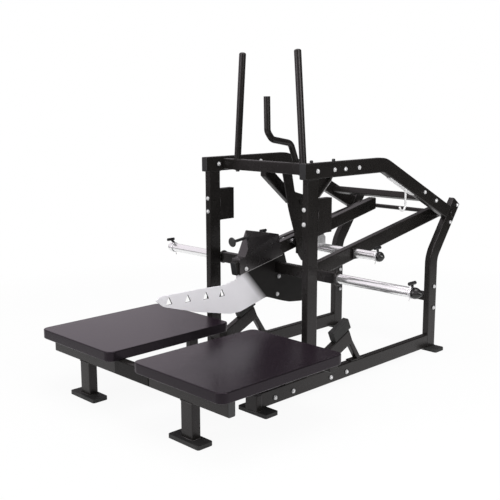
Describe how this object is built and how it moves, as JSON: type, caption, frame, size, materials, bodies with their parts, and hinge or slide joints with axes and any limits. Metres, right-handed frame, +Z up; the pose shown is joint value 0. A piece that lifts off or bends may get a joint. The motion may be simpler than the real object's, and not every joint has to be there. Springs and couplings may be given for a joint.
{
  "type": "belt squat machine",
  "caption": "Free-standing belt squat machine with twin foot platforms, grip rods, a pivoting weight lever with chrome plate horns, a hitch plate and a hand-released safety catch.",
  "frame": {"origin": "floor point under the middle of the bounding box", "axes": "+X to the user's right when facing the machine, +Y from the platforms to the lever pivot, +Z up"},
  "size_m": [1.89, 2.2954, 1.7611],
  "materials": {
    "frame_black": "semi-gloss black powder coat",
    "deck_charcoal": "matte charcoal grip coating",
    "rubber_black": "matte",
    "horn_chrome": "polished",
    "pin_steel": "zinc plated",
    "plastic_black": "satin",
    "belt_steel": "satin silver"
  },
  "bodies": {
    "frame": {"base_beam_L": "frame_black", "base_beam_R": "frame_black", "front_upright_L": "frame_black", "front_upright_R": "frame_black", "top_beam_L": "frame_black", "top_beam_R": "frame_black", "rear_upright_L": "frame_black", "rear_upright_R": "frame_black", "top_cross_member": "frame_black", "rear_upper_member": "frame_black", "rear_lower_member": "frame_black", "base_front_member": "frame_black", "base_rear_member": "frame_black", "grip_rod_L": "frame_black", "grip_rod_R": "frame_black", "front_foot_L": "rubber_black", "front_foot_R": "rubber_black", "mid_foot_L": "rubber_black", "mid_foot_R": "rubber_black", "rear_foot_L": "rubber_black", "rear_foot_R": "rubber_black", "deck_L": "deck_charcoal", "deck_R": "deck_charcoal", "deck_front_beam": "frame_black", "deck_joint_plate": "plastic_black", "deck_rear_beam_L": "frame_black", "deck_rear_beam_R": "frame_black", "front_leg_L": "frame_black", "front_leg_R": "frame_black", "mid_leg_L": "frame_black", "mid_leg_R": "frame_black", "stop_ramp_L": "frame_black", "stop_ramp_R": "frame_black", "stop_pad_L": "rubber_black", "stop_pad_R": "rubber_black", "stop_box_L": "frame_black", "stop_box_R": "frame_black", "pivot_shaft": "pin_steel", "catch_hanger": "frame_black", "plate_hook": "horn_chrome"},
    "lever": {"lever_beam": "frame_black", "side_arm_L": "frame_black", "side_arm_R": "frame_black", "horn_beam": "frame_black", "short_horn_beam": "horn_chrome", "long_horn_L": "horn_chrome", "long_horn_R": "horn_chrome", "short_horn_L": "horn_chrome", "short_horn_R": "horn_chrome", "belt_plate": "belt_steel", "lever_cover": "frame_black", "catch_pin": "horn_chrome"},
    "catch": {"catch_plate": "frame_black", "release_handle": "frame_black"},
    "knob": {"pull_knob": "plastic_black"},
    "clip_long_left": {"long_clip_L": "plastic_black"},
    "clip_long_right": {"long_clip_R": "plastic_black"},
    "clip_short_left": {"short_clip_L": "plastic_black"},
    "clip_short_right": {"short_clip_R": "plastic_black"}
  },
  "joints": [
    {"name": "lever_pivot", "type": "hinge", "parent": "frame", "child": "lever", "pos_m": [0, 1.0645, 0.82292], "axis": [-1, 0, 0], "range_deg": [-12, 9]},
    {"name": "catch_swing", "type": "hinge", "parent": "frame", "child": "catch", "pos_m": [0.056, 0.04385, 0.958], "axis": [-1, 0, 0], "range_deg": [-2.5, 9]},
    {"name": "knob_pull", "type": "slide", "parent": "lever", "child": "knob", "axis": [0, -0.9929, -0.1192], "range_m": [0, 0.012], "stiffness_N_per_m": 600},
    {"name": "clip_long_left_slide", "type": "slide", "parent": "lever", "child": "clip_long_left", "axis": [-1, 0, 0], "range_m": [-0.41, 0.001]},
    {"name": "clip_short_left_slide", "type": "slide", "parent": "lever", "child": "clip_short_left", "axis": [-1, 0, 0], "range_m": [-0.08, 0.02]},
    {"name": "clip_long_right_slide", "type": "slide", "parent": "lever", "child": "clip_long_right", "axis": [1, 0, 0], "range_m": [-0.41, 0.001]},
    {"name": "clip_short_right_slide", "type": "slide", "parent": "lever", "child": "clip_short_right", "axis": [1, 0, 0], "range_m": [-0.1, 0.001]}
  ]
}
